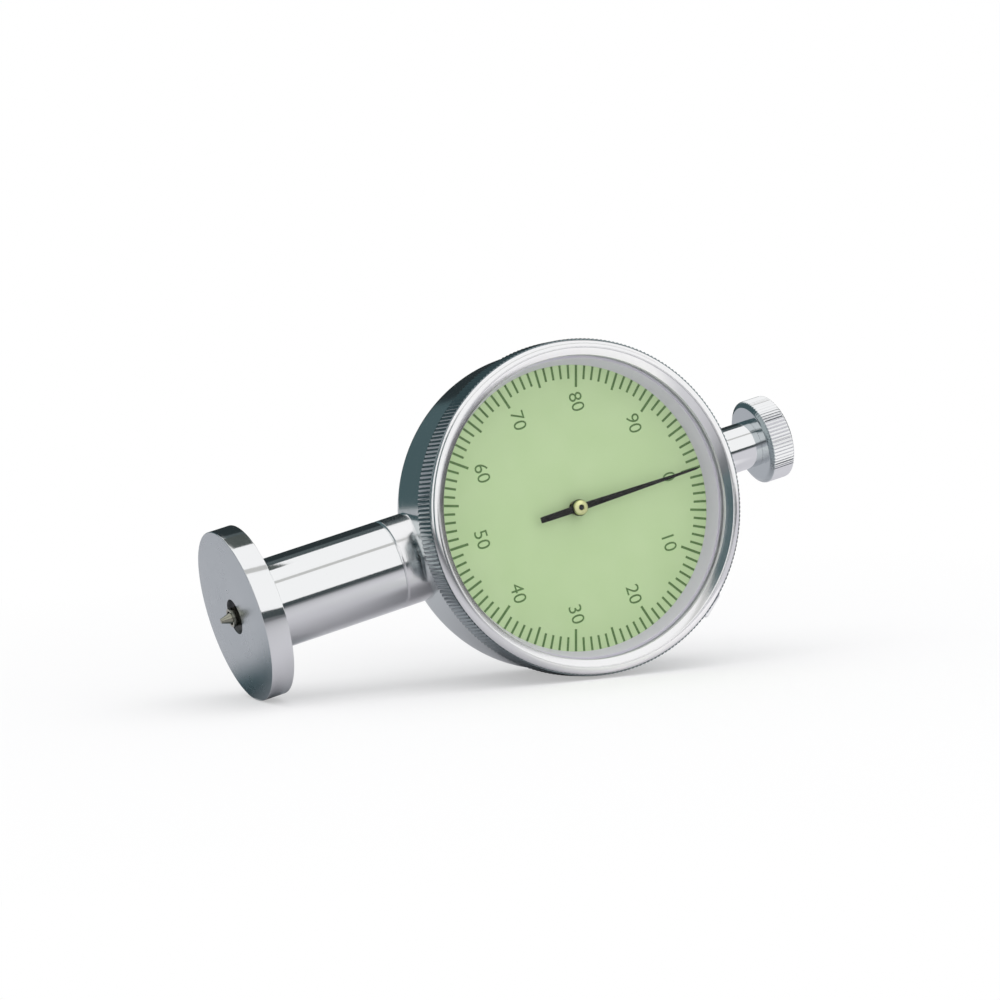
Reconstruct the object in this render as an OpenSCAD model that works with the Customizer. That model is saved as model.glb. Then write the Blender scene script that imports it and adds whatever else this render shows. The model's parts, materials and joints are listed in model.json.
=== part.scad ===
// Pocket hardness tester: a sprung point in a flat round foot drives a hand once around a dial.
// Drawn lying at rest on the bezel's knurl, the rear edge of the case and the edge of the foot.

/* [Bezel and dial] */
// How far the bezel's rim stands out past the side of the case
rim_over = 0.6; // [0.3:0.05:1.2]
// Radius of the rounded front bead of the bezel
bead_r = 1.45; // [1.2:0.05:1.8]
// Height of the bevel from the top of the bead down to the opening over the glass
bevel_drop = 1.1; // [0.9:0.05:1.3]
// Distance from the dial frame's origin back to the end of the knurled skirt
skirt_len = 4.7; // [4.6:0.1:6]
// Number of ridges around the knurled skirt
knurl_count = 240; // [120:2:260]
// Depth of the knurl ridges
knurl_depth = 0.25; // [0.15:0.05:0.4]
// Thickness of the skirt between its bore and the knurl roots
skirt_wall = 1.85; // [1.5:0.05:2.2]
// Thickness of the glass
glass_t = 1; // [0.8:0.1:1.2]
// Thickness of the soft ring under the glass
gasket_t = 0.3; // [0.2:0.05:0.5]
// Distance from the origin back to the face of the dial
dial_depth = 4.3; // [4.1:0.1:4.8]
// Thickness of the dial plate
dial_t = 0.5; // [0.3:0.05:0.7]
// Radial clearance of the dial around the hand's arbor
dial_clear = 0.4; // [0.3:0.1:1]
// Width of the sloped ring seen between the bead and the dial
surround_w = 1.4; // [1:0.1:2]
// Radial play of the turning bezel on the case
turn_play = 0.05; // [0.02:0.01:0.1]

/* [Case] */
// Diameter of the case behind the bezel
case_front_d = 55.8; // [54:0.2:56.4]
// Diameter of the case where its rear rounding starts
case_rear_d = 54.8; // [52:0.2:55.6]
// Radius of the rounded rear edge of the case
case_round = 5; // [3:0.2:6]
// Depth of the case from the origin to its back
case_depth = 21.4; // [21:0.1:23]
// Thickness of the case's side wall at the rear
case_wall = 2.8; // [2.4:0.1:3.2]
// Thickness of the case's back wall
back_wall = 2.5; // [2:0.1:2.8]
// Width of the flat of the case's back around the rear cover
cover_edge = 1.4; // [1:0.1:3]
// Height of the rear cover outside the case
cover_proud = 1; // [0.5:0.1:1.5]
// Number of screws in the rear cover
cover_screw_count = 4; // [3:1:6]
// Diameter of the heads of the small screws
screw_head_d = 2.8; // [2.2:0.1:3]
// Diameter of the threads of the small screws
screw_d = 1.4; // [1:0.1:1.6]

/* [Stem and foot] */
// Depth of the stem's axis behind the origin
axis_depth = 14.7; // [14.4:0.1:15.2]
// Diameter of the stem
stem_d = 15.4; // [14:0.2:17]
// Distance from the dial's axis to the face of the foot
foot_reach = 60.1; // [58:0.5:68]
// How far the boss that carries the stem stands out of the case
boss_len = 4.1; // [3:0.1:6]
// Width of the fine groove at that line
line_w = 0.5; // [0.2:0.1:0.8]
// Diameter of the foot
foot_d = 29.5; // [24:0.5:34]
// Thickness of the foot
foot_t = 4; // [3.2:0.1:5]
// Diameter of the shallow recess around the point
recess_d = 6; // [4.4:0.2:8]
// Depth of the shallow recess around the point
recess_t = 0.7; // [0.4:0.1:0.9]

/* [Point and spindle] */
// Travel of the point, and how far it stands out of the foot at rest
travel = 2.5; // [2.3:0.02:2.54]
// Diameter of the hardened point where it leaves its holder
point_d = 2.4; // [2:0.05:2.5]
// Diameter of the flat at the end of the point
point_flat_d = 0.79; // [0.5:0.01:0.8]
// Full angle of the cone at the end of the point
point_angle = 35; // [30:1:45]
// Diameter of the point's holder, seen in the foot's recess
holder_d = 3.2; // [3:0.1:3.4]
// How far the holder stands out of the foot at rest
holder_proud = 0.8; // [0.2:0.1:1.2]
// Diameter of the spindle rod
rod_d = 4; // [3.4:0.1:4.4]
// Radial play of the sliding rod in its guides
slide_play = 0.04; // [0.02:0.01:0.08]
// Diameter of the spring's wire
wire_d = 0.9; // [0.6:0.05:1]
// Mean diameter of the load spring
spring_d = 7; // [6.6:0.1:7.6]
// Number of turns in the load spring
spring_turns = 5; // [4:1:6]

/* [Movement] */
// Distance from the sector's pivot circle to the inside of the case's wall
pivot_gap = 2.9; // [2.8:0.05:3.2]
// Pitch radius of the pinion on the hand's arbor
pinion_r = 1.6; // [1.55:0.01:1.62]
// Number of pinion teeth
pinion_teeth = 10; // [8:2:10]
// Number of sector teeth each side of the middle one
sector_side_teeth = 7; // [7:1:8]
// Thickness of the sector
sector_t = 0.8; // [0.5:0.1:1.2]
// Diameter of the arbors
arbor_d = 1.6; // [1.4:0.1:1.8]
// Radial play of the arbors in their bearings
arbor_play = 0.04; // [0.02:0.01:0.06]
// Diameter of the drive pin
drive_pin_d = 1.4; // [1.2:0.1:1.6]
// Play each side of the drive pin in its slot
slot_play = 0.1; // [0.08:0.01:0.15]
// Clearance between the drive block and the floor of the case
block_clear = 1.6; // [1.2:0.1:2.4]
// Thickness of the movement's front plate
plate_t = 1.5; // [1.2:0.1:1.6]
// Thickness of the movement's rear bridge
bridge_t = 1; // [0.8:0.1:1.1]
// Height of the pillars between front plate and bridge
pillar_h = 3.5; // [3.4:0.05:3.6]
// Number of turns in the hairspring
hair_turns = 5; // [3:1:6]

/* [Hand] */
// Gap between the hand's tip and the sloped ring around the dial
hand_gap = 1; // [0.6:0.1:4]
// Length of the hand's tail
tail_len = 7.4; // [4:0.1:10]
// Width of the hand at the arbor
hand_w = 1.2; // [0.8:0.1:1.6]
// Width of the hand at its tip
tip_w = 0.3; // [0.2:0.05:0.6]
// Thickness of the hand
hand_t = 0.3; // [0.2:0.05:0.4]
// Diameter of the cap over the hand
cap_d = 2.6; // [2.4:0.1:3.6]

/* [Knob] */
// Length of the knob's neck outside the case
neck_len = 12.3; // [9:0.1:18]
// Diameter of the knob
knob_d = 14.9; // [12:0.1:18]
// Thickness of the knob
knob_t = 5; // [4.6:0.1:7]
// Number of flutes around the knob
flute_count = 72; // [48:2:90]
// Depth of the flutes
flute_depth = 0.25; // [0.15:0.05:0.4]
// Diameter of the knob's neck
neck_d = 8.3; // [7.6:0.1:9.4]

/* [Bezel lock] */
// Angle of the bezel lock around the dial, clockwise from the knob
lock_angle = 50; // [40:1:60]
// Width of the lock's block along the edge of the case
lock_w = 5; // [4:0.5:8]
// Height of the lock's block over the side of the case
lock_rise = 2.4; // [2.2:0.1:3.4]

/* [Hidden] */
$fn = 64;
e = 0.01;

// Bezel, glass and dial
knurl_r = case_front_d / 2 + rim_over;
bead_z = 0.2;
band_z = bead_z + 0.48 * bead_r;
band_half = sqrt(pow(bead_r, 2) - pow(band_z - bead_z, 2));
bead_c = knurl_r - knurl_depth - 0.03 - band_half;
bore_r = knurl_r - knurl_depth - skirt_wall;
spigot_r = bore_r - turn_play;
spigot_in = spigot_r - 1;
lip_z = -0.1;
glass_z = lip_z - glass_t;
gasket_z = glass_z - gasket_t;
lip_r = bead_c - band_half;
bevel_z = bead_z + bead_r - bevel_drop;
surround_in = lip_r - surround_w;
flange_z = gasket_z - 1.1;
dial_z = -dial_depth;
dial_back = dial_z - dial_t;
dial_r = spigot_in - 0.2;
wire_z = -skirt_len + 1;
snap_d = 0.6;

// Case
shoulder_z = -skirt_len - 0.3;
side_r = max(case_front_d, case_rear_d) / 2;
cavity_r = min(case_front_d, case_rear_d) / 2 - case_wall;
round_z = -case_depth + case_round;
floor_z = -case_depth + back_wall;
cover_r = case_rear_d / 2 - case_round - cover_edge;
cover_seat = -case_depth + 1.2;
cover_open = cover_r - 2.5;
cover_screw_r = cover_r - 1.5;
plate_top = dial_back - 1.2;
plate_bot = plate_top - plate_t;
plate_r = spigot_in - 0.05;
bridge_top = plate_bot - pillar_h;
bridge_bot = bridge_top - bridge_t;

// Stem, spindle and spring
stem_r = stem_d / 2;
stem_line = side_r - 0.5 + boss_len;
tenon_r = stem_r - 1.5;
tenon_end = stem_line + 5.5;
nut_r = tenon_r - 1.6;
bush_r = nut_r - 1.4;
rod_r = rod_d / 2;
foot_back = foot_reach - foot_t;
foot_tenon_r = tenon_r - 1.2;
foot_tenon = foot_t - 1.5;
holder_r = holder_d / 2;
spring_r = spring_d / 2;
collar_back = foot_back - 7.6;
collar_t = 1.5;
nut_front = tenon_end + 1.5;
spring_len = collar_back - nut_front;
barrel_bore = tenon_r - 0.9;
rod_end = cavity_r - 0.6;
point_r = point_d / 2;
point_cone = (point_d - point_flat_d) / 2 / tan(point_angle / 2);

// Movement
arm_len = ((cavity_r - pivot_gap) / pinion_r - 1) * travel / (2 * PI);
sector_r = 2 * PI * arm_len * pinion_r / travel;
pivot = [-sqrt(pow(sector_r + pinion_r, 2) - pow(arm_len, 2)), arm_len];
line_angle = atan2(-pivot[1], -pivot[0]);
swing = travel / 2 / arm_len * 180 / PI;
tooth_pitch = 2 * PI * pinion_r / pinion_teeth;
tooth_angle = tooth_pitch / sector_r * 180 / PI;
pin_x = pivot[0] - travel / 2;
arbor_r = arbor_d / 2;
pin_r = drive_pin_d / 2;
slot_r = pin_r + slot_play;
sector_top = plate_bot - pillar_h / 2 + 0.15;
sector_bot = sector_top - sector_t;
pinion_top = sector_top + 0.4;
pinion_bot = sector_bot - 0.4;
hair_z = plate_bot - 0.85;
hair_h = 0.5;
collet_r = 1.2;
hair_step = 0.4;
hair_out = collet_r + 2 * hair_step * hair_turns;
block_top = bridge_bot - 0.3;
block_bot = floor_z + block_clear;
block_half = 1.6;
pillar_at = cavity_r * [[0.244, 0.285], [0.244, -0.285], [-0.549, 0.569]];
hand_z = dial_z + 1.6;
hand_len = surround_in - hand_gap;
head_h = 0.5;

// Knob and neck
knob_reach = side_r - 0.5 + neck_len;
knob_r = knob_d / 2;
knob_end_r = knob_r - flute_depth - 0.6;
neck_r = neck_d / 2;
neck_tenon_r = neck_r - 1;
neck_seat = case_rear_d / 2 - 0.3;
knob_thread_r = 2;

// Lying pose: the leaning angle, the slope of the stem and the height of the dial's centre
far = [knurl_r - case_rear_d / 2 + case_round, -skirt_len - round_z];
lean = acos(case_round / norm(far)) - atan2(far[1], far[0]);
rest_h = knurl_r * cos(lean) + skirt_len * sin(lean);
foot_h = rest_h - axis_depth * sin(lean);
slope = asin(foot_h / norm([foot_reach, foot_d / 2])) - atan2(foot_d / 2, foot_reach);
roll = 90 - asin(sin(lean) / cos(slope));
ax = [cos(slope), 0, sin(slope)];
az = [-cos(roll) * sin(slope), -sin(roll), cos(roll) * cos(slope)];
function reach(c, a, r, d) = c * d + r * sqrt(1 - pow(a * d, 2));
foot_c = -foot_reach * ax - axis_depth * az;
knob_c = (knob_reach + knob_t - 0.5) * ax - axis_depth * az;
knob_e = (knob_reach + knob_t) * ax - axis_depth * az;
low_x = -reach(foot_c, ax, foot_d / 2, [-1, 0, 0]);
high_x = max(reach(knob_c, ax, knob_r, [1, 0, 0]), reach(knob_e, ax, knob_end_r, [1, 0, 0]));
low_y = bead_z * az[1] - bead_c * sqrt(1 - pow(az[1], 2)) - bead_r;
high_y = max(reach(foot_c, ax, foot_d / 2, [0, 1, 0]),
    reach(-foot_back * ax - axis_depth * az, ax, foot_d / 2, [0, 1, 0]));

module place() {
    translate([-(low_x + high_x) / 2, -(low_y + high_y) / 2, rest_h]) rotate([roll, -slope, 0]) children();
}

// Turned along the stem: x runs from the dial's axis toward the knob
module along(x0, x1, r, $fn = 64) {
    translate([x0, 0, -axis_depth]) rotate([0, 90, 0]) cylinder(h = x1 - x0, r = r);
}

module along_cone(x0, x1, r0, r1) {
    translate([x0, 0, -axis_depth]) rotate([0, 90, 0]) cylinder(h = x1 - x0, r1 = r0, r2 = r1);
}

module disc(z0, z1, r) {
    translate([0, 0, z0]) cylinder(h = z1 - z0, r = r);
}

module bar(a, b, w) {
    translate(a) rotate(atan2(b[1] - a[1], b[0] - a[0])) translate([0, -w / 2]) square([norm(b - a), w]);
}

module at_ring(count, r, turn = 0) {
    for (i = [0:count - 1]) rotate(turn + i * 360 / count) translate([r, 0, 0]) children();
}

// Straight ridges around a rim
module ridges(count, r, depth) {
    polygon([for (i = [0:2 * count - 1]) let(a = i * 180 / count, q = i % 2 == 0 ? r : r - depth)
        [q * cos(a), q * sin(a)]]);
}

// A small slotted screw: head from z 0 up, thread below
module screw(len, head = head_h) {
    difference() {
        union() {
            cylinder(h = head, d = screw_head_d, $fn = 32);
            translate([0, 0, -len]) cylinder(h = len, d = screw_d, $fn = 32);
        }
        translate([-screw_head_d, -0.18, head * 0.5]) cube([2 * screw_head_d, 0.36, head]);
    }
}

// Outside of the drum, without its stem
module drum() {
    rotate_extrude($fn = 128) union() {
        polygon([[0, shoulder_z], [case_front_d / 2, shoulder_z], [case_rear_d / 2, round_z],
            [case_rear_d / 2 - case_round, round_z], [case_rear_d / 2 - case_round, -case_depth],
            [0, -case_depth]]);
        intersection() {
            translate([case_rear_d / 2 - case_round, round_z]) circle(r = case_round);
            translate([case_rear_d / 2 - case_round, -case_depth]) square([case_round, case_round]);
        }
    }
}

module case_body() color("#5d6b6b") place() difference() {
    union() {
        drum();
        disc(shoulder_z, flange_z - 0.2, spigot_r);
        along(-stem_line + line_w / 2, -cavity_r, stem_r);
        along_cone(-stem_line, -stem_line + line_w / 2, stem_r - line_w / 2, stem_r);
        along(-tenon_end, -stem_line, tenon_r);
    }
    disc(plate_bot, 1, spigot_in);
    disc(floor_z, plate_bot + 1, cavity_r);
    disc(-case_depth - 1, cover_seat, cover_r);
    disc(-case_depth - 1, floor_z + 1, cover_open);
    along(-tenon_end - 1, -stem_line - 1, nut_r);
    along(-stem_line - 2, -cavity_r + 1, bush_r);
    along(cavity_r - 2, case_rear_d, neck_tenon_r);
    along(neck_seat, case_rear_d, neck_r + 0.2);
    translate([0, 0, wire_z]) rotate_extrude($fn = 96) translate([spigot_r, 0]) circle(d = snap_d, $fn = 24);
    at_ring(cover_screw_count, cover_screw_r, 45) translate([0, 0, cover_seat - e])
        cylinder(h = floor_z - cover_seat + 1, d = screw_d, $fn = 32);
    at_ring(3, plate_r - 1.6, 30) translate([0, 0, plate_bot - 2]) cylinder(h = 3, d = screw_d, $fn = 32);
    lock_hole();
}

module rear_cover() color("#6a7777") place() difference() {
    union() {
        disc(-case_depth - cover_proud + 0.4, cover_seat, cover_r);
        translate([0, 0, -case_depth - cover_proud]) cylinder(h = 0.4, r1 = cover_r - 0.4, r2 = cover_r);
    }
    at_ring(cover_screw_count, cover_screw_r, 45) translate([0, 0, -case_depth - cover_proud - 1]) {
        cylinder(h = 6, d = screw_d, $fn = 32);
        cylinder(h = 1 + head_h, d = screw_head_d, $fn = 32);
    }
}

module cover_screws() color("#b8bcc0") place() at_ring(cover_screw_count, cover_screw_r, 45)
    translate([0, 0, -case_depth - cover_proud + head_h]) rotate([180, 0, 25])
    screw(floor_z - 0.2 + case_depth + cover_proud - head_h);

module bezel_ring() color("#c9ccd0") place() difference() {
    union() {
        rotate_extrude($fn = 128) {
            intersection() {
                translate([bead_c, bead_z]) circle(r = bead_r);
                translate([lip_r - 1, band_z]) square([3 * bead_r + 2, 3 * bead_r]);
            }
            translate([bead_c - 0.5, band_z - 0.5]) square([1, 0.8]);
        }
        translate([0, 0, -skirt_len]) linear_extrude(skirt_len + band_z) ridges(knurl_count, knurl_r, knurl_depth);
    }
    disc(-skirt_len - 1, lip_z, bore_r);
    disc(lip_z - 1, bead_r + 1, lip_r);
    translate([0, 0, bevel_z])
        cylinder(h = 1.3 * bevel_drop, r1 = lip_r, r2 = lip_r + 1.3 * (bead_c - lip_r), $fn = 128);
    translate([0, 0, wire_z]) rotate_extrude($fn = 96) translate([spigot_r, 0]) circle(d = snap_d + 0.2, $fn = 24);
}

module bezel_wire() color("#9a9ea2") place() translate([0, 0, wire_z]) rotate_extrude($fn = 96)
    translate([spigot_r, 0]) circle(d = snap_d, $fn = 24);

module crystal() color("#dfeaea", 0.3) place() disc(glass_z, lip_z, bore_r);

module crystal_gasket() color("#b4b6ba") place() difference() {
    disc(gasket_z, glass_z, bore_r);
    disc(gasket_z - 1, glass_z + 1, lip_r);
}

module surround_ring() color("#b3b6bb") place() rotate_extrude($fn = 128)
    polygon([[surround_in, dial_z], [spigot_in - 0.2, dial_z], [spigot_in - 0.2, flange_z], [bore_r, flange_z],
        [bore_r, gasket_z], [lip_r - 0.4, gasket_z]]);

module dial_plate() color("#b9d29f") place() difference() {
    disc(dial_back, dial_z, dial_r);
    disc(dial_back - 1, dial_z + 1, arbor_r + dial_clear);
}

module pointer() color("#141414") place() difference() {
    union() {
        translate([0, 0, hand_z]) linear_extrude(hand_t)
            polygon([[0, hand_w / 2], [hand_len, tip_w / 2], [hand_len, -tip_w / 2], [0, -hand_w / 2],
                [-tail_len, -hand_w * 0.4], [-tail_len, hand_w * 0.4]]);
        disc(hand_z - 0.5, hand_z + hand_t, cap_d / 2 + 0.1);
    }
    disc(hand_z - 1, hand_z + 1, arbor_r);
}

module pointer_cap() color("#8a7c45") place() difference() {
    union() {
        disc(hand_z + hand_t, hand_z + hand_t + 0.4, cap_d / 2);
        translate([0, 0, hand_z + hand_t + 0.4]) cylinder(h = 0.3, r1 = cap_d / 2, r2 = cap_d / 2 - 0.4);
    }
    disc(hand_z - 1, hand_z + hand_t + 0.2, arbor_r);
}

module centre_arbor() color("#c8c2a8") place() {
    disc(bridge_bot, hand_z + hand_t + 0.2, arbor_r);
    disc(hair_z, hair_z + hair_h, collet_r);
    translate([0, 0, pinion_bot]) linear_extrude(pinion_top - pinion_bot) {
        circle(r = pinion_r - 0.4);
        for (i = [0:pinion_teeth - 1]) rotate(line_angle + 180 + (i + 0.5) * 360 / pinion_teeth)
            tooth(pinion_r - 0.5, pinion_r + 0.35, 0.22, 0.1);
    }
}

module tooth(r0, r1, w0, w1) {
    polygon([[r0, -w0], [r1, -w1], [r1, w1], [r0, w0]]);
}

module hairspring() color("#5c6f8f") place() translate([0, 0, hair_z]) {
    for (i = [0:2 * hair_turns - 1])
        translate([i % 2 == 0 ? 0 : hair_step, 0, 0]) rotate(i % 2 == 0 ? 0 : 180)
            rotate_extrude(angle = 180, $fn = 48) translate([collet_r + i * hair_step, 0]) square([0.12, hair_h]);
}

module hairspring_stud() color("#b59b55") place() difference() {
    translate([hair_out + 0.3, 0.5, plate_bot - 1.2]) cylinder(h = 1.2, r = 0.6, $fn = 32);
    translate([hair_out - 1, -1, hair_z]) cube([1.12, 2, hair_h]);
}

module front_plate() color("#b08d4a") place() difference() {
    disc(plate_bot, plate_top, plate_r);
    disc(plate_bot - 1, plate_top + 1, 2);
    translate([pivot[0], pivot[1], plate_bot - 1]) cylinder(h = plate_t + 2, r = arbor_r + arbor_play);
    for (p = pillar_at) translate([p[0], p[1], plate_bot - 1]) cylinder(h = plate_t + 2, d = screw_d, $fn = 32);
    at_ring(3, plate_r - 1.6, 30) translate([0, 0, plate_bot - 1]) cylinder(h = plate_t + 2, d = screw_d, $fn = 32);
}

module plate_screws() color("#b8bcc0") place() {
    at_ring(3, plate_r - 1.6, 30) translate([0, 0, plate_top]) screw(plate_t + 1.8);
    for (p = pillar_at) translate([p[0], p[1], plate_top]) screw(plate_t + 1.2);
}

module bridge_plate() color("#b08d4a") place() translate([0, 0, bridge_bot]) linear_extrude(bridge_t) difference() {
    union() {
        bar([0, 0], pivot, 5);
        bar(pillar_at[0], pillar_at[1], 5);
        bar([0, 0], [6, 0], 6);
        bar(pillar_at[2], pivot, 5);
        circle(r = 3);
        translate(pivot) circle(r = 2.5);
        for (p = pillar_at) translate(p) circle(r = 2.5);
    }
    circle(r = arbor_r + arbor_play);
    translate(pivot) circle(r = arbor_r + arbor_play);
    for (p = pillar_at) translate(p) circle(d = screw_d);
}

module pillars() color("#c4a765") place() for (p = pillar_at) translate([p[0], p[1], bridge_top]) difference() {
    cylinder(h = pillar_h, r = 1.5);
    translate([0, 0, -e]) cylinder(h = 1.2 + e, d = screw_d, $fn = 32);
    translate([0, 0, pillar_h - 1.2]) cylinder(h = 1.2 + e, d = screw_d, $fn = 32);
}

module bridge_screws() color("#b8bcc0") place() for (p = pillar_at)
    translate([p[0], p[1], bridge_bot]) rotate([180, 0, 40]) screw(bridge_t + 1.2);

module centre_bush() color("#a5793c") place() difference() {
    disc(plate_bot, plate_top + 0.4, 2);
    disc(plate_bot - 1, plate_top + 1, arbor_r + arbor_play);
}

module sector_gear() color("#c2a152") place() translate([pivot[0], pivot[1], sector_bot]) rotate(-swing)
    linear_extrude(sector_t) difference() {
    union() {
        rotate(line_angle) {
            difference() {
                intersection() {
                    circle(r = sector_r - 0.5, $fn = 128);
                    sector_wedge(tooth_angle * (sector_side_teeth + 0.5));
                }
                intersection() {
                    circle(r = sector_r - 3, $fn = 128);
                    sector_wedge(tooth_angle * (sector_side_teeth + 0.5) - 5.5);
                }
            }
            for (i = [-sector_side_teeth:sector_side_teeth]) rotate(i * tooth_angle)
                tooth(sector_r - 0.6, sector_r + 0.3, 0.25, 0.1);
        }
        circle(r = 2.4);
        bar([0, 0], [0, -arm_len - 0.5], 3.2);
        translate([0, -arm_len - 0.5]) circle(r = 1.6);
        difference() {
            circle(r = 5.5);
            rotate(line_angle + 180) sector_wedge(130);
        }
    }
    circle(r = arbor_r);
    bar([0, -arm_len + 0.3], [0, -arm_len - 0.5], 2 * slot_r);
    translate([0, -arm_len + 0.3]) circle(r = slot_r);
    translate([0, -arm_len - 0.5]) circle(r = slot_r);
}

// Wedge of half angle h about +x, reaching past the sector
module sector_wedge(h) {
    polygon([[0, 0], for (i = [-4:4]) 40 * [cos(i * h / 4), sin(i * h / 4)]]);
}

module sector_arbor() color("#c8c2a8") place() translate([pivot[0], pivot[1], bridge_bot])
    cylinder(h = plate_top - 0.3 - bridge_bot, r = arbor_r);

module spindle() color("#aab0b5") place() translate([0, 0, -axis_depth]) rotate([0, 90, 0]) rotate_extrude()
    polygon([[point_r, holder_x], [holder_r, holder_x], [holder_r, -collar_back - collar_t],
        [collar_r, -collar_back - collar_t], [collar_r, -collar_back], [rod_r, -collar_back],
        [rod_r, rod_end], [rod_r - 0.5, rod_end + 0.5], [0, rod_end + 0.5], [0, -foot_reach + 4],
        [point_r, -foot_reach + 4]]);
holder_x = -foot_reach - holder_proud;
collar_r = spring_r + wire_d / 2 + 0.4;

module drive_block() color("#9aa0a4") place() difference() {
    translate([pin_x - block_half, -3, block_bot]) cube([2 * block_half, 6, block_top - block_bot]);
    along(pin_x - 3, pin_x + 3, rod_r);
    translate([pin_x, 0, block_top - 1.2]) cylinder(h = 3, r = pin_r);
    translate([pin_x, 0, -axis_depth]) rotate([90, 0, 0]) cylinder(h = 4, d = screw_d, $fn = 32);
}

module drive_pin() color("#d0d3d6") place() translate([pin_x, 0, block_top - 0.6]) difference() {
    translate([0, 0, 0]) cylinder(h = sector_top + 0.3 - block_top + 0.6, r = pin_r);
    translate([0, 0, -axis_depth - block_top + 0.6]) rotate([90, 0, 90]) cylinder(h = 6, r = rod_r, center = true);
}

module block_screw() color("#b8bcc0") place() translate([pin_x, -3, -axis_depth]) difference() {
    rotate([-90, 0, 0]) cylinder(h = 1, d = screw_d, $fn = 32);
    translate([-2, -0.01, -0.15]) cube([4, 0.3, 0.3]);
}

module indenter() color("#e2e4e6") place() translate([-foot_reach - travel, 0, -axis_depth]) rotate([0, 90, 0])
    rotate_extrude() polygon([[0, 0], [point_flat_d / 2, 0], [point_r, point_cone], [point_r, travel + 4],
        [0, travel + 4]]);

module lower_bush() color("#a5793c") place() difference() {
    union() {
        along(-foot_back - foot_tenon, -foot_back + 4, 3.2);
        along(-foot_back + 4, -foot_back + 5, barrel_bore);
    }
    along(-foot_reach, -foot_back + 6, holder_r + slide_play);
}

module upper_bush() color("#a5793c") place() difference() {
    along(-stem_line - 1, -cavity_r - 0.3, bush_r);
    along(-stem_line - 2, 0, rod_r + slide_play);
}

module load_spring() color("#7d868c") place() translate([-collar_back, 0, -axis_depth]) rotate([0, 90, 0])
    linear_extrude(spring_len, twist = -360 * spring_turns, slices = 18 * spring_turns, $fn = 12)
    spring_bean();

// Slice across the coil: a round wire cut square to the spring's axis
module spring_bean() {
    w = wire_d / 2 - 0.02;
    h = 360 * w / (spring_len / spring_turns);
    polygon([for (i = [-5:5]) (spring_r + w * sqrt(1 - pow(i / 5, 2))) * [cos(i / 5 * h), sin(i / 5 * h)],
        for (i = [4:-1:-4]) (spring_r - w * sqrt(1 - pow(i / 5, 2))) * [cos(i / 5 * h), sin(i / 5 * h)]]);
}

module spring_nut() color("#b59b55") place() difference() {
    along(-nut_front, -stem_line - 1, nut_r);
    along(-nut_front - 1, -stem_line, rod_r + 0.3);
    translate([-nut_front - 0.1, -stem_r, -axis_depth - 0.4]) cube([0.7, stem_d, 0.8]);
}

module stem_barrel() color("#d4d7db") place() difference() {
    union() {
        along(-foot_back, -stem_line - line_w / 2, stem_r);
        along_cone(-stem_line - line_w / 2, -stem_line, stem_r, stem_r - line_w / 2);
        along(-foot_back - foot_tenon, -foot_back, foot_tenon_r);
    }
    along(-tenon_end, 0, tenon_r);
    along(-foot_back + 4, -tenon_end + 1, barrel_bore);
    along(-foot_reach, -foot_back + 5, 3.2);
}

module presser_foot() color("#cfd3d7") place() difference() {
    along(-foot_reach, -foot_back, foot_d / 2, $fn = 128);
    along(-foot_back - foot_tenon, -foot_back + 1, foot_tenon_r);
    along(-foot_reach - 1, -foot_back, holder_r + 0.2);
    along(-foot_reach - 1, -foot_reach + recess_t, recess_d / 2);
}

module knob_stud() color("#d4d7db") place() difference() {
    union() {
        along(neck_seat, knob_reach, neck_r);
        along(cavity_r - 0.6, neck_seat, neck_tenon_r);
        along(knob_reach, knob_reach + 3.4, knob_thread_r);
    }
    along(cavity_r - 2, rod_end + travel + 3, rod_r + slide_play);
}

module knob() color("#d4d7db") place() difference() {
    union() {
        translate([knob_reach + 0.5, 0, -axis_depth]) rotate([0, 90, 0]) linear_extrude(knob_t - 1)
            ridges(flute_count, knob_r, flute_depth);
        along_cone(knob_reach, knob_reach + 0.5, knob_end_r, knob_end_r + 0.5);
        along(knob_reach + 0.5, knob_reach + knob_t - 0.5, knob_end_r + 0.5);
        along_cone(knob_reach + knob_t - 0.5, knob_reach + knob_t, knob_end_r + 0.5, knob_end_r);
    }
    along(knob_reach - 1, knob_reach + 3.4, knob_thread_r);
}

lock_z = shoulder_z - 0.4;
lock_h = 4.6;
lock_r = side_r + lock_rise;
lock_c = lock_r - 1.45;

module at_lock() {
    rotate(-lock_angle) children();
}

// Thread of the lock screw where it cuts into the side of the case
module lock_hole() at_lock() {
    translate([lock_c, 0, lock_z - lock_h - 4]) cylinder(h = lock_h + 4.6, r = screw_d / 2 + 0.5, $fn = 32);
}

module lock_block() color("#6a7777") place() difference() {
    at_lock() translate([case_rear_d / 2 - 1.5, -lock_w / 2, lock_z - lock_h])
        cube([lock_r - case_rear_d / 2 + 1.5, lock_w, lock_h]);
    drum();
    at_lock() translate([lock_c, 0, lock_z - lock_h - 1]) cylinder(h = lock_h + 2, d = screw_d + 0.06, $fn = 32);
}

module lock_screw() color("#b8bcc0") place() at_lock()
    translate([lock_c, 0, lock_z - lock_h - 0.1]) rotate([180, 0, 0]) intersection() {
        screw(lock_h + 0.55, 1.6);
        translate([0, 0, -lock_h - 1]) cylinder(h = lock_h + 3, r = 1.2, $fn = 32);
    }

case_body();
rear_cover();
cover_screws();
bezel_ring();
bezel_wire();
crystal();
crystal_gasket();
surround_ring();
dial_plate();
pointer();
pointer_cap();
centre_arbor();
hairspring();
hairspring_stud();
front_plate();
plate_screws();
bridge_plate();
pillars();
bridge_screws();
centre_bush();
sector_gear();
sector_arbor();
spindle();
drive_block();
drive_pin();
block_screw();
indenter();
lower_bush();
upper_bush();
load_spring();
spring_nut();
stem_barrel();
presser_foot();
knob_stud();
knob();
lock_block();
lock_screw();
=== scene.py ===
# Looks for a pocket dial durometer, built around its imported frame: metres, in the same frame.
import bpy
import bmesh
import json
import math
from mathutils import Matrix, Vector


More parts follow.
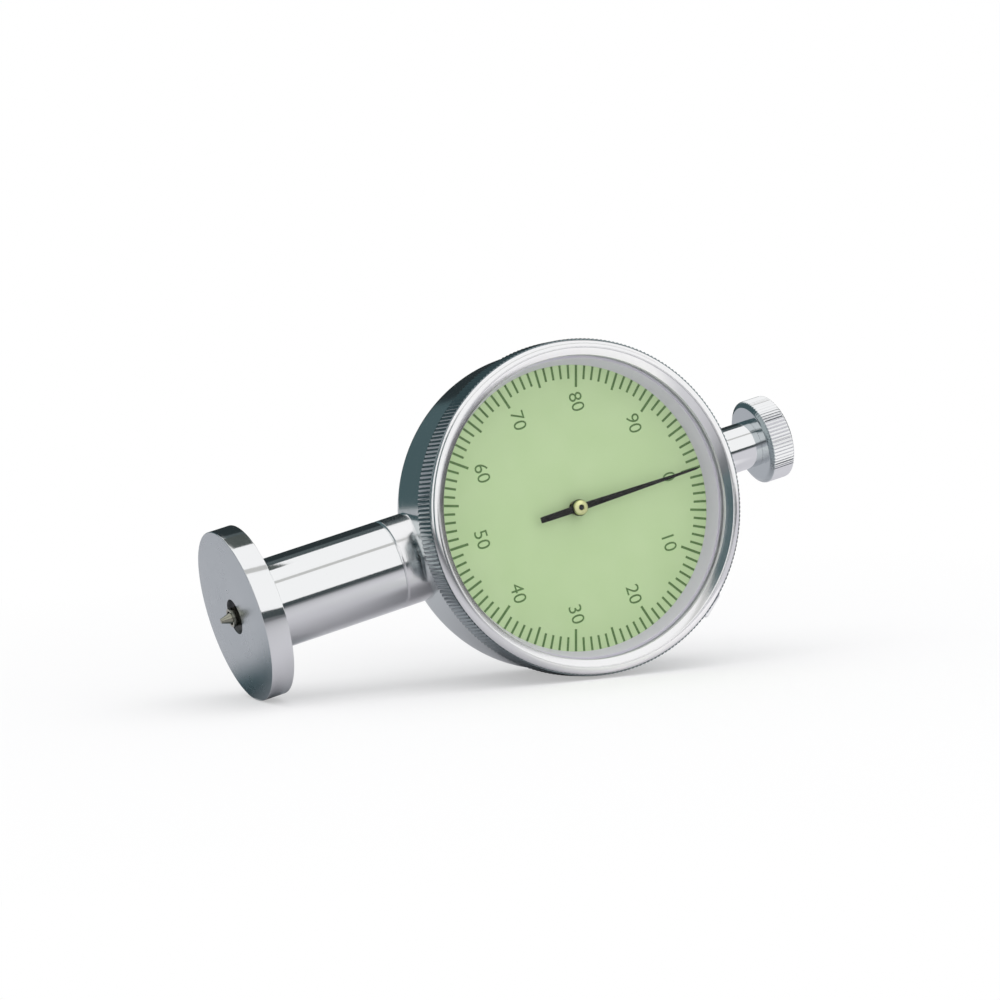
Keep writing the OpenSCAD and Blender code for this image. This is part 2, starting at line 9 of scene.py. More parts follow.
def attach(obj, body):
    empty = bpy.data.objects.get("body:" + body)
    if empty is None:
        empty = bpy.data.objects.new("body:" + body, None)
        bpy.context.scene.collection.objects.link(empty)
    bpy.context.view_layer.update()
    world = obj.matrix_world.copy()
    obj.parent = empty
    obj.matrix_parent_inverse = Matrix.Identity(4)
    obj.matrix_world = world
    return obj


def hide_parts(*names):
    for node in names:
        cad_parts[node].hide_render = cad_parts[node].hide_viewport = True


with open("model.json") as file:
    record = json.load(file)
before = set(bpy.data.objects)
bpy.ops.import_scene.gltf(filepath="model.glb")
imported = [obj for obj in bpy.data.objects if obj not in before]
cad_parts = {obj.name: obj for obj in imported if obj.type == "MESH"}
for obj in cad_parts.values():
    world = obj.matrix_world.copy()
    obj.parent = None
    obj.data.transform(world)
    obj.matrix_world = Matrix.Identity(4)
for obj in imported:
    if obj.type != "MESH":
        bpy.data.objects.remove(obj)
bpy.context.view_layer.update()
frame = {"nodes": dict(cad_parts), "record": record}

# Sizes that several pieces share, in millimetres
STEM_DEPTH = 14.7
STEM_R = 7.7
FOOT_R = 14.75
FOOT_REACH = 60.1

# Places: DIAL has its origin at the bezel bead's centre, x toward the knob, z out of the dial.
# STEM turns about the stem, with z toward the knob. Both count in millimetres.
joints = {j["name"]: j for j in frame["record"]["behaviour"]["joints"]}
outward = Vector(joints["bezel_turn"]["axis"])
knobward = Vector(joints["indenter_slide"]["axis"])
dial_middle = Vector(joints["bezel_turn"]["pos_m"])
axes = Matrix((knobward, outward.cross(knobward), outward)).transposed()
DIAL = Matrix.Translation(dial_middle) @ axes.to_4x4() @ Matrix.Scale(0.001, 4)
STEM = DIAL @ Matrix.Translation((0, 0, -STEM_DEPTH)) @ Matrix.Rotation(math.pi / 2, 4, "Y")


# Materials

# How high the fine marks of tools stand, in metres
MARK_DEPTH = 0.00002


def colour(code):
    """sRGB hex to linear, opaque."""
    parts = [int(code[i:i + 2], 16) / 255 for i in (1, 3, 5)]
    return tuple(p / 12.92 if p <= 0.04045 else ((p + 0.055) / 1.055) ** 2.4 for p in parts) + (1.0,)


def add(tree, kind, settings=None, links=None):
    """A node with its settings and links: a link goes from an output to the named input."""
    made = tree.nodes.new(kind)
    for name, value in (settings or {}).items():
        if name in made.inputs:
            made.inputs[name].default_value = value
        else:
            setattr(made, name, value)
    for name, output in (links or {}).items():
        tree.links.new(output, made.inputs[name])
    return made


def finish(name, code, metallic=0.0, roughness=0.5, **more):
    """A material whose surface is one Principled shader: returns it, its tree and that shader."""
    made = bpy.data.materials.new(name)
    made.use_nodes = True
    tree = made.node_tree
    skin = tree.nodes["Principled BSDF"]
    skin.inputs["Base Color"].default_value = colour(code)
    skin.inputs["Metallic"].default_value = metallic
    skin.inputs["Roughness"].default_value = roughness
    for key, value in more.items():
        skin.inputs[key.replace("_", " ")].default_value = value
    made.diffuse_color = colour(code)
    return made, tree, skin


def noise(tree, scale, detail):
    """A 0 to 1 pattern over the piece, in metres: scale 1000 gives spots about 1 mm wide."""
    place = add(tree, "ShaderNodeTexCoord")
    return add(tree, "ShaderNodeTexNoise", {"Scale": scale, "Detail": detail},
               {"Vector": place.outputs["Object"]}).outputs[0]


def roughen(tree, skin, low, high, pattern):
    """Lets the roughness follow a pattern, from low to high."""
    spread = add(tree, "ShaderNodeMapRange", {"To Min": low, "To Max": high}, {"Value": pattern})
    tree.links.new(spread.outputs[0], skin.inputs["Roughness"])


def tint(tree, skin, first, second, pattern):
    """Lets the colour follow a pattern, between two codes."""
    blend = add(tree, "ShaderNodeMix", {"data_type": "RGBA", "A": colour(first), "B": colour(second)},
                {"Factor": pattern})
    tree.links.new(blend.outputs["Result"], skin.inputs["Base Color"])


def emboss(tree, skin, strength, depth, pattern):
    """Raises a pattern as a bump, depth in metres."""
    bump = add(tree, "ShaderNodeBump", {"Strength": strength, "Distance": depth}, {"Height": pattern})
    tree.links.new(bump.outputs[0], skin.inputs["Normal"])


def turned_chrome(name, code, smooth, rough, mark, strength, metallic=1.0):
    """Chrome plate over turned steel: the polish leaves faint rings around the axis, mark mm apart,
    and the plate is a little cloudy from handling, in patches about 4 mm wide."""
    made, tree, skin = finish(name, code, metallic, smooth)
    wrap = add(tree, "ShaderNodeUVMap", {"uv_map": "turned"})
    rings = add(tree, "ShaderNodeMapping", {"Scale": (0.02, 1 / mark, 1)}, {"Vector": wrap.outputs[0]})
    lines = add(tree, "ShaderNodeTexNoise", {"Scale": 1.0, "Detail": 3.0}, {"Vector": rings.outputs[0]})
    both = add(tree, "ShaderNodeMath", {"operation": "MULTIPLY"},
               {0: noise(tree, 260.0, 4.0), 1: lines.outputs[0]})
    roughen(tree, skin, smooth, rough, both.outputs[0])
    emboss(tree, skin, strength, MARK_DEPTH, lines.outputs[0])
    return made


def grained(name, code, metallic, roughness, scale, detail, rough=None, tones=None, bump=None, **more):
    """A material with one noise over it, which may vary its roughness, its colour and its relief."""
    made, tree, skin = finish(name, code, metallic, roughness, **more)
    pattern = noise(tree, scale, detail)
    if rough:
        roughen(tree, skin, *rough, pattern)
    if tones:
        tint(tree, skin, *tones, pattern)
    if bump:
        emboss(tree, skin, bump, MARK_DEPTH, pattern)
    return made


def dial_enamel():
    """Baked enamel on the dial plate: pale green, matt, with a faint mottle and fine grit."""
    made, tree, skin = finish("baked enamel, pale green", "#BBD4A1", 0.0, 0.55)
    tint(tree, skin, "#B4CF99", "#C1D8A8", noise(tree, 180.0, 5.0))
    emboss(tree, skin, 0.08, 0.00001, noise(tree, 6000.0, 2.0))
    return made


def gauge_glass():
    """Flat mineral glass, coated against glare: clear, with so weak a reflection that its IOR is low,
    and lamp light goes straight through it to the dial."""
    made, tree, skin = finish("mineral glass, polished", "#FFFFFF", 0.0, 0.0, Transmission_Weight=1.0, IOR=1.16)
    clear = add(tree, "ShaderNodeBsdfTransparent")
    path = add(tree, "ShaderNodeLightPath")
    lit = add(tree, "ShaderNodeMath", {"operation": "MAXIMUM"},
              {0: path.outputs["Is Shadow Ray"], 1: path.outputs["Is Diffuse Ray"]})
    mixed = add(tree, "ShaderNodeMixShader", {}, {0: lit.outputs[0], 1: skin.outputs[0], 2: clear.outputs[0]})
    tree.links.new(mixed.outputs[0], tree.nodes["Material Output"].inputs["Surface"])
    return made


# Bright chrome with a mirror polish: stem, rim of the foot, neck, knob and lock pad
chrome = turned_chrome("chromed steel, polished", "#F0F1F2", 0.05, 0.16, 0.35, 0.10)
# The foot's face is lapped flat, so its mirror is softer
lapped = turned_chrome("chromed steel, lapped", "#BAC1C4", 0.22, 0.38, 0.5, 0.14)
# The bezel's bead and the case's boss are plated over a fine blast, which spreads their highlights
bezel_chrome = turned_chrome("chromed bezel, fine blasted", "#F2F2F3", 0.12, 0.24, 0.3, 0.12)
# The case is buffed less, and its plate looks deeper
case_chrome = turned_chrome("chromed case, buffed", "#C6CDCE", 0.10, 0.24, 0.6, 0.12)
# The knurl's chrome is rougher and much darker than the bead's: the darkness is painted shade
shaded_knurl_chrome = turned_chrome("chromed knurl, painted shade", "#8A9598", 0.14, 0.28, 0.3, 0.12)
# The knob's side toward the bezel is the same turned chrome, rougher and darker: the darkness is painted shade
shaded_knob_chrome = turned_chrome("chromed knob face, painted shade", "#C0C7CA", 0.10, 0.24, 0.35, 0.14)
# The sloped ring is sprayed silver-grey: paint with a little flake, so it stays even beside the green
satin = turned_chrome("silver lacquer, satin", "#D3CFDB", 0.40, 0.55, 0.25, 0.25, metallic=0.1)
# Bare tool steel, olive grey, with short scratches under a millimetre apart
steel = grained("tool steel, turned", "#9E9D90", 1.0, 0.2, 1600.0, 4.0, rough=(0.12, 0.28), bump=0.12)
# Near-black steel as painted shade, in the recess around the point and the cap's pit: dark, with an oily grain
painted_shade_steel = grained("painted shade, dark steel", "#2A2C2D", 0.6, 0.45, 1800.0, 3.0, rough=(0.35, 0.6))
# Spring steel, tempered blue-grey
spring_steel = grained("spring steel, tempered", "#6C7687", 1.0, 0.3, 500.0, 3.0, tones=("#596273", "#86888F"))
# Brass, satin turned: pale yellow that dulls in small patches
brass = grained("brass, satin", "#C9B978", 1.0, 0.3, 420.0, 5.0, rough=(0.3, 0.5), tones=("#BABB84", "#D6DAAC"))
# Pad-printed ink, whose weight varies slightly on a scale of about half a millimetre
scale_ink = grained("printing ink, dark green", "#466636", 0.0, 0.6, 2200.0, 3.0, tones=("#466636", "#64884F"))
# Black lacquer on the hand: nearly black, dulled unevenly by a thin dust
lacquer = grained("black lacquer, satin", "#0C0D0C", 0.0, 0.45, 3000.0, 2.0, rough=(0.38, 0.56),
                  Specular_IOR_Level=0.3)
# Grey rubber ring under the glass: matt, slightly uneven
rubber = grained("silicone rubber, matt", "#B4B6BA", 0.0, 0.7, 2500.0, 2.0, rough=(0.7, 0.9))
enamel = dial_enamel()
glass = gauge_glass()


# Shapes

# Points on each rounded corner, and the angle from which an edge stays sharp
CORNER_STEPS = 6
SHARP = math.radians(32)
slots = {s["node"]: s["material_slot"] for s in frame["record"]["subparts"]}


def eased(points):
    """An outline with rounded corners: each point is (radius, height, size of its rounding)."""
    line = []
    for i, point in enumerate(points):
        here = Vector(point[:2])
        size = point[2] if len(point) > 2 else 0
        if not size:
            line.append(here)
            continue
        before = (Vector(points[i - 1][:2]) - here).normalized() * size
        after = (Vector(points[(i + 1) % len(points)][:2]) - here).normalized() * size
        for k in range(CORNER_STEPS + 1):
            t = k / CORNER_STEPS
            line.append(here + before * (1 - t) ** 2 + after * t ** 2)
    return line


def arc(middle, radius, start, end, steps):
    """Points of an arc, from start to end degrees."""
    turn = [math.radians(start + (end - start) * k / steps) for k in range(steps + 1)]
    return [(middle[0] + radius * math.cos(a), middle[1] + radius * math.sin(a)) for a in turn]


def as_mesh(shape, name):
    """The mesh of a bmesh, which is freed."""
    mesh = bpy.data.meshes.new(name)
    shape.to_mesh(mesh)
    shape.free()
    return mesh


def settle(name, mesh, place, body, nodes, skins):
    """Makes the piece: puts it in place, on its body, in the stead of its CAD nodes."""
    mesh.transform(place)
    for skin in skins:
        mesh.materials.append(skin)
    mesh.shade_smooth()
    mesh.set_sharp_from_angle(angle=SHARP)
    piece = bpy.data.objects.new(name, mesh)
    bpy.context.scene.collection.objects.link(piece)
    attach(piece, body)
    if nodes:
        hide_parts(*nodes)


def turned(outline, steps=256, ripple=None, closed=True):
    """A mesh turned from an outline of (radius, height) points. ripple(angle, radius) may change the
    radius. Its 'turned' map runs around in x and along the outline in y, in mm."""
    around = 180
    shape = bmesh.new()
    wrap = shape.loops.layers.uv.new("turned")
    rows = []
    run = [0.0]
    for a, b in zip(outline, list(outline[1:]) + [outline[0]]):
        run.append(run[-1] + (Vector(b[:2]) - Vector(a[:2])).length)
    for r, h in outline:
        if r < 1e-6:
            rows.append([shape.verts.new((0, 0, h))] * steps)
            continue
        row = []
        for k in range(steps):
            a = 2 * math.pi * k / steps
            q = ripple(a, r) if ripple else r
            row.append(shape.verts.new((q * math.cos(a), q * math.sin(a), h)))
        rows.append(row)
    for i in range(len(rows) if closed else len(rows) - 1):
        low, high = rows[i], rows[(i + 1) % len(rows)]
        for k in range(steps):
            n = (k + 1) % steps
            ring = []
            for v, u, w in ((low[k], k, run[i]), (low[n], k + 1, run[i]),
                            (high[n], k + 1, run[i + 1]), (high[k], k, run[i + 1])):
                if v not in [x[0] for x in ring]:
                    ring.append((v, u, w))
            if len(ring) < 3:
                continue
            face = shape.faces.new([x[0] for x in ring])
            for loop, (v, u, w) in zip(face.loops, ring):
                loop[wrap].uv = (u / steps * around, w)
    bmesh.ops.recalc_face_normals(shape, faces=shape.faces)
    return as_mesh(shape, "turned")


def ridged(count, root, depth):
    """A ripple for turned: straight ridges with slightly rounded crests, which run out where the
    outline is lower than they are."""
    def ripple(a, r):
        t = (a * count / (2 * math.pi)) % 1
        return min(r, root + depth * (1 - abs(2 * t - 1)) ** 0.8)
    return ripple


def joined(*meshes):
    """One mesh out of several, keeping their maps and material slots."""
    shape = bmesh.new()
    for mesh in meshes:
        shape.from_mesh(mesh)
    return as_mesh(shape, "joined")


def skinned(mesh, index):
    """Gives every face of a mesh the same material slot."""
    mesh.polygons.foreach_set("material_index", [index] * len(mesh.polygons))
    return mesh


def skinned_within(mesh, radius):
    """Gives the faces that lie within a radius of the axis the second material slot."""
    for face in mesh.polygons:
        face.material_index = int(max(math.hypot(*mesh.vertices[v].co.xy) for v in face.vertices) < radius)
    return mesh


# Bezel: a round bead, bevelled toward the glass, in front of a finely knurled skirt. The short wall
# over the glass, inside LIP_R, is left matt
RIDGES = 240
LIP_R = 25.7
bead = arc((26.948, 0.2), 1.45, 29, 84, 28)
bead += eased([(26.948, 1.64, 0.2), (25.69, 0.56, 0.1), (25.69, -0.1), (26.4, -0.1), (26.4, 0.6), (28.2, 0.6)])
skirt = [(26.4, 0.5), (28.2, 0.89), (28.4, 0.87), (28.5, 0.7), (28.5, -4.5), (28.4, -4.68), (26.4, -4.7)]
knurl = turned(skirt, RIDGES * 8, ridged(RIDGES, 28.25, 0.25))
# The knurl takes the darker chrome of painted shade
settle("bezel_ring_knurled", joined(skinned_within(turned(bead), LIP_R), skinned(knurl, 2)), DIAL, "bezel",
       ["bezel_ring"], [bezel_chrome, satin, shaded_knurl_chrome])

crystal_outline = eased([(0, -1.1), (26.38, -1.1, 0.15), (26.38, -0.12, 0.15), (0, -0.12)])
settle("gauge_glass", turned(crystal_outline, closed=False), DIAL, "bezel", ["crystal"], [glass])

sloped = eased([(24.28, -4.3), (25.15, -4.3), (25.15, -2.5), (26.4, -2.5), (26.4, -1.4), (25.28, -1.4, 0.1)])
settle("sloped_ring", turned(sloped), DIAL, "bezel", ["surround_ring"], [satin])

plate = eased([(1.2, -4.8), (25.15, -4.8), (25.15, -4.3), (1.2, -4.3, 0.1)])
settle("dial_plate_enamelled", turned(plate), DIAL, "bezel", ["dial_plate"], [enamel])

# Scale: a hundred divisions, clockwise from the knob, printed on the enamel at this height
PRINT = -4.285
DIVISIONS = 100
LINE_END = 24.26
NUMBER_SIZE = 3.4
NUMBER_R = 18.0


def scale_lines():
    """Division lines as flat strips of ink, wider and longer at each fifth and tenth."""
    shape = bmesh.new()
    for i in range(DIVISIONS):
        inner, width = (20.5, 0.44) if i % 10 == 0 else (21.2, 0.42) if i % 5 == 0 else (21.9, 0.40)
        turn = Matrix.Rotation(-2 * math.pi * i / DIVISIONS, 3, "Z")
        corners = [(inner, -width / 2), (LINE_END, -width / 2), (LINE_END, width / 2), (inner, width / 2)]
        shape.faces.new([shape.verts.new(turn @ Vector((x, y, PRINT))) for x, y in corners])
    return as_mesh(shape, "scale")


def number(value):
    """A dial number as flat ink, upright with the knob at the top."""
    words = bpy.data.curves.new("number", "FONT")
    words.body = str(value)
    words.size = NUMBER_SIZE
    words.align_x = "CENTER"
    words.align_y = "CENTER"
    words.resolution_u = 4
    holder = bpy.data.objects.new("number", words)
    bpy.context.scene.collection.objects.link(holder)
    bpy.context.view_layer.update()
    mesh = bpy.data.meshes.new_from_object(holder)
    bpy.data.objects.remove(holder)
    turn = -2 * math.pi * value / DIVISIONS
    place = (NUMBER_R * math.cos(turn), NUMBER_R * math.sin(turn), PRINT)
    mesh.transform(Matrix.Translation(place) @ Matrix.Rotation(-math.pi / 2, 4, "Z"))
    return mesh


settle("scale_lines", scale_lines(), DIAL, "bezel", [], [scale_ink])
settle("scale_numbers", joined(*[number(value) for value in range(0, DIVISIONS, 10)]), DIAL, "bezel", [], [scale_ink])


def hand_mesh():
    """The hand: a tapered strip with a raised spine and a short tail."""
    shape = bmesh.new()
    stations = [(-7.4, 0.48), (-7.0, 0.52), (0, 0.6), (12, 0.38), (22.6, 0.18), (23.28, 0.06)]
    under, edge, spine = -2.7, -2.48, -2.4
    rows = []
    for x, half in stations:
        row = [(x, -half, under), (x, half, under), (x, half, edge), (x, 0, spine), (x, -half, edge)]
        rows.append([shape.verts.new(p) for p in row])
    for low, high in zip(rows, rows[1:]):
        for k in range(5):
            shape.faces.new((low[k], low[(k + 1) % 5], high[(k + 1) % 5], high[k]))
    shape.faces.new(rows[0])
    shape.faces.new(rows[-1])
    bmesh.ops.recalc_face_normals(shape, faces=shape.faces)
    return as_mesh(shape, "hand")


# Hand with its round middle, under a domed cap whose pit is painted dark as shade
PIT_R = 0.45
hub = turned(eased([(0.8, -3.2), (1.4, -3.2, 0.1), (1.4, -2.4, 0.1), (0.8, -2.4)]), 96)
settle("hand_lacquered", joined(hand_mesh(), hub), DIAL, "hand", ["pointer"], [lacquer])
cap = eased([(0, -2.39), (1.3, -2.39, 0.05), (1.3, -1.9, 0.3), (0.5, -1.71, 0.08), (0.4, -1.95, 0.05), (0, -1.95)])
settle("hand_cap", skinned_within(turned(cap, 96, closed=False), PIT_R), DIAL, "hand", ["pointer_cap"],
       [brass, painted_shade_steel])

# Case: a slightly tapered drum with a rounded rear edge, and the boss that the stem screws on to
drum = eased([(25.4, -5.2), (25.4, -2.75), (26.3, -2.75, 0.1), (26.3, -5.0), (27.9, -5.0, 0.2)])
drum += arc((22.4, -16.4), 5, 0, -90, 24)
drum += [(21.05, -21.4), (21.05, -20.2), (18.5, -20.2), (18.5, -18.9), (24.6, -18.9), (24.6, -7.5), (25.4, -7.5)]
boss = turned(eased([(3.2, -37), (6.2, -37, 0.3), (6.2, -31.52), (7.45, -31.52), (STEM_R, -31.27, 0.05),
                     (STEM_R, -25.2), (3.2, -25.2)]))
boss.transform(DIAL.inverted() @ STEM)
settle("case_drum", joined(turned(drum), skinned(boss, 1)), DIAL, "case", ["case_body"],
       [case_chrome, bezel_chrome])

# Stem and foot. The foot's face is lapped, and the recess around the point, RECESS metres wide from its middle, is
# painted dark as shade
RECESS = 0.00302
barrel = eased([(5.3, -31.5), (7.45, -31.5), (STEM_R, -31.75, 0.05), (STEM_R, -56.08), (5.0, -56.08),
                (5.0, -58.5), (3.2, -58.5), (3.2, -52.1), (5.3, -52.1)])
settle("stem_barrel_polished", turned(barrel), STEM, "case", ["stem_barrel"], [chrome])
foot = eased([(5.0, -56.1), (FOOT_R, -56.1, 0.12), (FOOT_R, -FOOT_REACH, 0.12), (3.0, -FOOT_REACH, 0.1),
              (3.0, -59.4), (1.8, -59.4), (1.8, -58.6), (5.0, -58.6)])
foot_mesh = turned(foot, 320)
settle("presser_foot_lapped", foot_mesh, STEM, "case", ["presser_foot"], [chrome, lapped, painted_shade_steel])
foot_middle = DIAL @ Vector((-FOOT_REACH, 0, -STEM_DEPTH))
# The recess around the point takes the near-black painted shade, the flat face the lapped chrome
for face in foot_mesh.polygons:
    if (face.center - foot_middle).length < RECESS:
        face.material_index = 2
    elif abs(face.normal.dot(knobward)) > 0.9:
        face.material_index = 1

# Neck and knob: fine flutes run out at the rim's chamfers, and the side below FACE_END is rougher and darker, its
# darkness painted shade
FLUTES = 72
FACE_END = 40.4
neck = eased([(3.15, 24.0), (3.15, 27.1), (4.15, 27.1, 0.15), (4.15, 39.7), (2.0, 39.7), (2.0, 43.0), (0, 43.0),
              (0, 29.6), (2.05, 29.6), (2.05, 24.0)])
settle("knob_neck", turned(neck, 160), STEM, "case", ["knob_stud"], [chrome])
rim = eased([(2.0, 39.72), (6.55, 39.72, 0.2), (7.44, 40.3, 0.2), (7.44, 44.1, 0.2), (6.55, 44.68, 0.2),
             (0, 44.68), (0, 43.1), (2.0, 43.1)])
knob_mesh = turned(rim, FLUTES * 8, ridged(FLUTES, 7.2, 0.24))
# Faces toward the bezel, below FACE_END, take the second slot, the chrome with painted shade
for face in knob_mesh.polygons:
    face.material_index = int(max(knob_mesh.vertices[v].co.z for v in face.vertices) < FACE_END)
settle("knob_fluted", knob_mesh, STEM, "case", ["knob"], [chrome, shaded_knob_chrome])

# Bezel lock: a pad with rounded edges on the outer end of its block
PAD_SIZE = (1.3, 4.9, 4.5)
PAD_PLACE = (30.55, 0, -7.7)
PAD_ANGLE = math.radians(-50)
pad = bmesh.new()
bmesh.ops.create_cube(pad, size=1, matrix=Matrix.Diagonal((*PAD_SIZE, 1)))
bmesh.ops.bevel(pad, geom=pad.edges[:], offset=0.4, segments=4, profile=0.5, affect="EDGES")
settle("lock_pad", as_mesh(pad, "lock_pad"),
       DIAL @ Matrix.Rotation(PAD_ANGLE, 4, "Z") @ Matrix.Translation(PAD_PLACE), "case", [], [chrome])

# Point of the indenter: hardened and ground, with its flat end
tip = eased([(0, -62.6), (0.395, -62.6, 0.03), (1.2, -60.05, 0.06), (1.2, -56.1), (0, -56.1)])
settle("ground_point", turned(tip, 64, closed=False), STEM, "spindle", ["indenter"], [steel])

# CAD nodes that stay get the finish of their material slot
looks = {"chromed_steel": case_chrome, "steel": steel, "spring_steel": spring_steel, "brass": brass,
         "glass": glass, "rubber": rubber, "dial_paint": enamel, "black_paint": lacquer}
for node, slot in slots.items():
    kept = frame["nodes"][node]
    kept.data.materials.clear()
    kept.data.materials.append(looks[slot])


# Stage: pale floor that fades into white, soft lamps, and cards that only polished metal sees

def stage_material(name):
    made = bpy.data.materials.new(name)
    made.use_nodes = True
    made.node_tree.nodes.clear()
    return made, made.node_tree


def pale_floor():
    """A matt floor that takes the part's shade, and that the camera sees go white 0.2 m away."""
    made, tree = stage_material("floor, pale matt")
    place = add(tree, "ShaderNodeTexCoord")
    far = add(tree, "ShaderNodeVectorMath", {"operation": "LENGTH"}, {0: place.outputs["Object"]})
    fade = add(tree, "ShaderNodeMapRange", {"From Min": 0.05, "From Max": 0.2, "To Min": 0.42},
               {"Value": far.outputs["Value"]})
    matt = add(tree, "ShaderNodeBsdfDiffuse", {"Color": colour("#F2F2F3")})
    white = add(tree, "ShaderNodeEmission", {"Strength": 1.0})
    path = add(tree, "ShaderNodeLightPath")
    seen = add(tree, "ShaderNodeMath", {"operation": "MULTIPLY"},
               {0: path.outputs["Is Camera Ray"], 1: fade.outputs[0]})
    mixed = add(tree, "ShaderNodeMixShader", {}, {0: seen.outputs[0], 1: matt.outputs[0], 2: white.outputs[0]})
    add(tree, "ShaderNodeOutputMaterial", {}, {"Surface": mixed.outputs[0]})
    return made


def grey_paper():
    """A grey paper on the floor, lit and shaded as the floor is, with a painted shadow just behind the foot and a
    painted light patch in front of the bezel; it darkens toward the front left.
    """
    made, tree = stage_material("paper, mauve grey")
    place = add(tree, "ShaderNodeTexCoord").outputs["Object"]

    def away(settings, near, far):
        """0 within near of the place that the settings map to the origin, 1 beyond far."""
        moved = add(tree, "ShaderNodeMapping", settings, {"Vector": place})
        length = add(tree, "ShaderNodeVectorMath", {"operation": "LENGTH"}, {0: moved.outputs[0]})
        return add(tree, "ShaderNodeMapRange", {"From Min": near, "From Max": far},
                   {"Value": length.outputs["Value"]})

    # Painted shadow: it is darker just behind the foot, where the foot and stem shade the floor, and clears within 20
    # mm
    painted_shadow_behind_foot = away({"Location": (0.048, -0.012, 0)}, 0.004, 0.02)
    # It darkens toward the front left
    askew = add(tree, "ShaderNodeMapping", {"Rotation": (0, 0, math.radians(42))}, {"Vector": place})
    depth = add(tree, "ShaderNodeSeparateXYZ", {}, {0: askew.outputs[0]})
    front_left = add(tree, "ShaderNodeMapRange", {"From Min": -0.139, "From Max": -0.043, "To Min": 0.2},
                     {"Value": depth.outputs["Y"]})
    # Painted light: it is white in an oval just in front of the bezel, over floor that the bezel shades
    painted_light_before_bezel = away({"Location": (-0.875, 0.858, 0), "Scale": (25, 28.6, 1)}, 0.675, 1.0)
    tone = add(tree, "ShaderNodeMix", {"data_type": "RGBA", "A": colour("#64767C"), "B": colour("#CECDD2")},
               {"Factor": painted_shadow_behind_foot.outputs[0]})
    for code, fade in (("#2A3234", front_left), ("#FAF8FA", painted_light_before_bezel)):
        tone = add(tree, "ShaderNodeMix", {"data_type": "RGBA", "A": colour(code)},
                   {"Factor": fade.outputs[0], "B": tone.outputs["Result"]})
    matt = add(tree, "ShaderNodeBsdfDiffuse", {}, {"Color": tone.outputs["Result"]})
    add(tree, "ShaderNodeOutputMaterial", {}, {"Surface": matt.outputs[0]})
    return made


def sheet(name, corners, skin):
    """A flat card of the stage."""
    mesh = bpy.data.meshes.new(name)
    mesh.from_pydata(corners, [], [tuple(range(len(corners)))])
    mesh.materials.append(skin)
    made = bpy.data.objects.new(name, mesh)
    bpy.context.scene.collection.objects.link(made)
    return made


def for_gloss_only(card):
    """Hides a card from all but glossy rays, so it shapes the reflections and casts no shade."""
    card.visible_camera = card.visible_diffuse = card.visible_shadow = False
    card.visible_transmission = card.visible_volume_scatter = False


def flag(name, code, corners):
    """A plain studio card that only polished metal sees."""
    made, tree = stage_material("flag " + name)
    glow = add(tree, "ShaderNodeEmission", {"Color": colour(code), "Strength": 1.0})
    add(tree, "ShaderNodeOutputMaterial", {}, {"Surface": glow.outputs[0]})
    for_gloss_only(sheet("flag_" + name, corners, made))


def wall(start, end, low, high):
    """Corners of an upright card between two floor points."""
    return [(*start, low), (*end, low), (*end, high), (*start, high)]


def level(x0, y0, x1, y1, height):
    """Corners of a flat card over the floor."""
    return [(x0, y0, height), (x1, y0, height), (x1, y1, height), (x0, y1, height)]


sheet("floor", level(-3, -3, 3, 3, 0), pale_floor())
for_gloss_only(sheet("grey_paper", level(-0.5, -0.59, 1.2, 0.7, 0.0003), grey_paper()))
flag("back_left", "#566A6E", wall((-1.25, -0.1), (0.12, 1.3), -0.05, 0.9))
flag("back_right", "#2E3638", wall((0.12, 1.3), (1.3, 0.9), -0.05, 1.35))
flag("back_high", "#525B5D", wall((0.12, 1.3), (1.3, 0.9), 1.35, 2.5))
flag("left", "#4A5F63", wall((-0.83, -0.86), (-1.06, -0.56), 0.0, 1.5))
flag("left_low", "#5E6F73", [(-0.15, -0.2, 0.001), (-0.83, -0.86, 0.001), (-1.06, -0.56, 0.001),
                             (-0.2, -0.14, 0.001)])
flag("front_line", "#454C4E", wall((-0.1, -0.6), (1.2, -0.6), -0.03, 0.095))
flag("foot_top", "#525856", level(-0.05, 0.012, -0.033, 0.06, 0.11))
flag("seam", "#C6C6C4", level(-1, -0.50, 1, -0.38, 0.84))

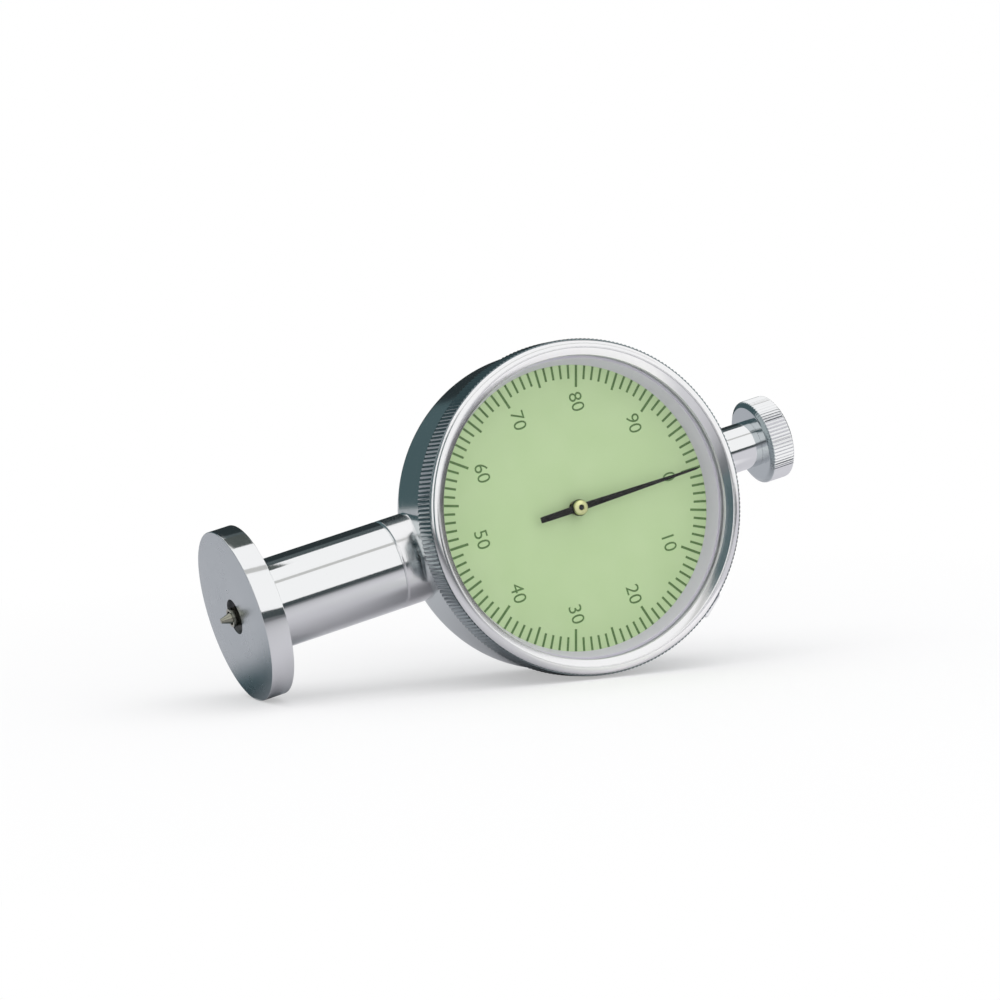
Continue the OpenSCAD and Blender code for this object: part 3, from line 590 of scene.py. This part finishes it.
# White all around for the camera and in mirrors, and a softer light on matt surfaces
world = bpy.data.worlds.new("white studio")
bpy.context.scene.world = world
world.use_nodes = True
sky = world.node_tree
sky.nodes.clear()
path = add(sky, "ShaderNodeLightPath")
shown = add(sky, "ShaderNodeMath", {"operation": "MAXIMUM"},
            {0: path.outputs["Is Camera Ray"], 1: path.outputs["Is Glossy Ray"]})
shown = add(sky, "ShaderNodeMath", {"operation": "MAXIMUM"},
            {0: shown.outputs[0], 1: path.outputs["Is Transmission Ray"]})
strength = add(sky, "ShaderNodeMapRange", {"To Min": 0.68, "To Max": 1.0}, {"Value": shown.outputs[0]})
white = add(sky, "ShaderNodeBackground", {"Color": (1, 1, 1, 1)}, {"Strength": strength.outputs[0]})
add(sky, "ShaderNodeOutputWorld", {}, {"Surface": white.outputs[0]})


def lamp(name, place, aim, wide, deep, power):
    """A soft area lamp."""
    light = bpy.data.lights.new(name, "AREA")
    light.shape = "RECTANGLE"
    light.size, light.size_y = wide, deep
    light.energy = power
    holder = bpy.data.objects.new(name, light)
    holder.location = place
    holder.rotation_euler = (Vector(aim) - Vector(place)).to_track_quat("-Z", "Y").to_euler()
    # Metal mirrors the white studio itself: a lamp would add to it and clip
    holder.visible_glossy = False
    bpy.context.scene.collection.objects.link(holder)


lamp("overhead", (0, 0, 0.85), (0, 0, 0), 1.6, 0.84, 4.2)
lamp("front", (0.25, -1.0, 0.72), (0, 0, 0.03), 1.1, 1.1, 2.6)

# Camera: the photograph's place, from fitting the bezel, stem, foot and knob. The focal length is in
# sensor widths
SENSOR = 36.0
FOCAL = 3.7173
eye = DIAL @ (Vector((-240.85, 53.81, 582.03)) * 0.9915)
# Rows of look: the camera's right, up and back, in the dial's frame
look = Matrix(((0.88463, -0.28685, 0.36763), (0.29477, 0.95490, 0.03577), (-0.36131, 0.07672, 0.92928)))
camera = bpy.data.cameras.new("camera")
camera.sensor_width = SENSOR
camera.sensor_fit = "HORIZONTAL"
camera.lens = SENSOR * FOCAL
camera.clip_start, camera.clip_end = 0.01, 20.0
viewer = bpy.data.objects.new("camera", camera)
bpy.context.scene.collection.objects.link(viewer)
viewer.matrix_world = Matrix.Translation(eye) @ (axes @ look.transposed()).to_4x4()
bpy.context.scene.camera = viewer
bpy.context.scene.view_settings.view_transform = "Standard"
